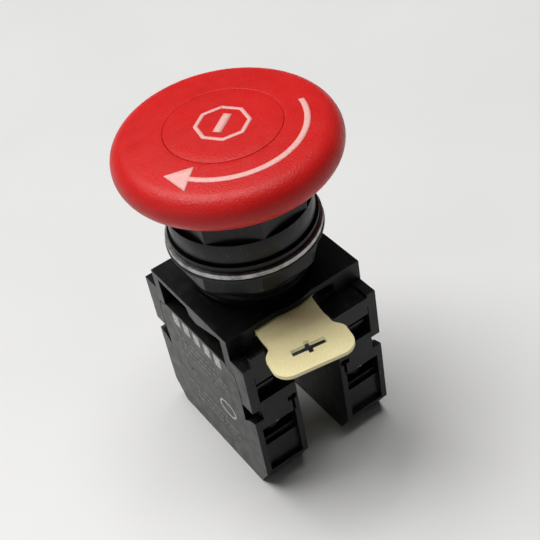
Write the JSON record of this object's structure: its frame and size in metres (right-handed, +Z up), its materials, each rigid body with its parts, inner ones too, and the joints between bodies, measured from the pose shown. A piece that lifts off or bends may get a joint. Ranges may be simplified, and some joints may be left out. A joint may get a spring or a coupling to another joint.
{
  "type": "emergency stop button",
  "caption": "Panel-mounted red mushroom emergency stop with twist release, octagonal nut, adapter with locking lever and contact blocks on the outer positions.",
  "frame": {"origin": "on the button's axis, in the plane where the gasket meets the panel", "axes": "+Z up along the button's axis through the red head; -Y towards the locking lever, the front; -X and +X towards the left and right contact blocks"},
  "size_m": [0.04, 0.0487, 0.0714],
  "materials": {
    "red_plastic": "fine-grained matte",
    "black_plastic": "satin moulded",
    "cream_plastic": "satin moulded",
    "white_plastic": "satin moulded",
    "grey_plastic": "satin moulded",
    "seal_rubber": "matte",
    "ring_metal": "turned satin",
    "steel": "zinc plated",
    "spring_steel": "drawn wire",
    "contact_copper": "stamped, silver tipped",
    "terminal_tin": "stamped, tin plated",
    "dark_steel": "black passivated"
  },
  "bodies": {
    "base": {"bezel_body": "black_plastic", "stem_seal": "seal_rubber", "trim_ring": "ring_metal", "panel_gasket": "seal_rubber", "mounting_nut": "black_plastic", "latch_springs": "spring_steel", "return_spring": "spring_steel", "adapter_body": "black_plastic", "left_block_housing": "black_plastic", "left_block_cover": "black_plastic", "right_block_housing": "black_plastic", "right_block_cover": "black_plastic", "left_front_terminal": "terminal_tin", "left_rear_terminal": "terminal_tin", "right_front_terminal": "terminal_tin", "right_rear_terminal": "terminal_tin", "terminal_screws": "dark_steel", "terminal_clamps": "dark_steel", "left_plunger_spring": "spring_steel", "right_plunger_spring": "spring_steel"},
    "push_stem": {"stem": "grey_plastic", "stem_clip": "steel", "pressure_plate": "grey_plastic", "cap_screw": "steel"},
    "head": {"mushroom_cap": "red_plastic", "cap_inlay_disc": "red_plastic", "release_cam": "white_plastic"},
    "left_push_rod": {"left_plunger": "grey_plastic", "left_contact_bridge": "contact_copper", "left_contact_spring": "spring_steel"},
    "right_push_rod": {"right_plunger": "grey_plastic", "right_contact_spring": "spring_steel"},
    "right_bridge": {"right_contact_bridge": "contact_copper"},
    "left_pin": {"left_latch_pin": "steel"},
    "right_pin": {"right_latch_pin": "steel"},
    "lever": {"lock_lever": "cream_plastic"}
  },
  "joints": [
    {"name": "head_push", "type": "slide", "parent": "base", "child": "push_stem", "axis": [0, 0, -1], "range_m": [0, 0.005], "stiffness_N_per_m": 900, "springref_m": -0.001, "deforming": ["return_spring"]},
    {"name": "head_twist", "type": "hinge", "parent": "push_stem", "child": "head", "pos_m": [0, 0, 0], "axis": [0, 0, -1], "range_deg": [0, 45], "stiffness_Nm_per_rad": 0.05},
    {"name": "left_plunger_push", "type": "slide", "parent": "base", "child": "left_push_rod", "axis": [0, 0, -1], "range_m": [0, 0.005], "stiffness_N_per_m": 200, "springref_m": -0.001, "deforming": ["left_plunger_spring"]},
    {"name": "right_plunger_push", "type": "slide", "parent": "base", "child": "right_push_rod", "axis": [0, 0, -1], "range_m": [0, 0.005], "stiffness_N_per_m": 200, "springref_m": -0.001, "deforming": ["right_plunger_spring"]},
    {"name": "right_bridge_close", "type": "slide", "parent": "base", "child": "right_bridge", "axis": [0, 0, -1], "range_m": [0, 0.00245], "deforming": ["right_contact_spring"]},
    {"name": "left_pin_retract", "type": "slide", "parent": "base", "child": "left_pin", "axis": [-1, 0, 0], "range_m": [0, 0.001], "deforming": ["latch_springs"]},
    {"name": "right_pin_retract", "type": "slide", "parent": "base", "child": "right_pin", "axis": [1, 0, 0], "range_m": [0, 0.001]},
    {"name": "lever_swing", "type": "hinge", "parent": "base", "child": "lever", "pos_m": [0, 0, -0.01215], "axis": [0, 0, 1], "range_deg": [0, 22]}
  ],
  "couplings": [
    {"joint": "left_plunger_push", "follows": "head_push", "ratio": 1},
    {"joint": "right_plunger_push", "follows": "head_push", "ratio": 1},
    {"joint": "right_bridge_close", "follows": "head_push", "ratio": 0.49},
    {"joint": "left_pin_retract", "follows": "head_push", "ratio": 0.2},
    {"joint": "right_pin_retract", "follows": "head_push", "ratio": 0.2}
  ]
}
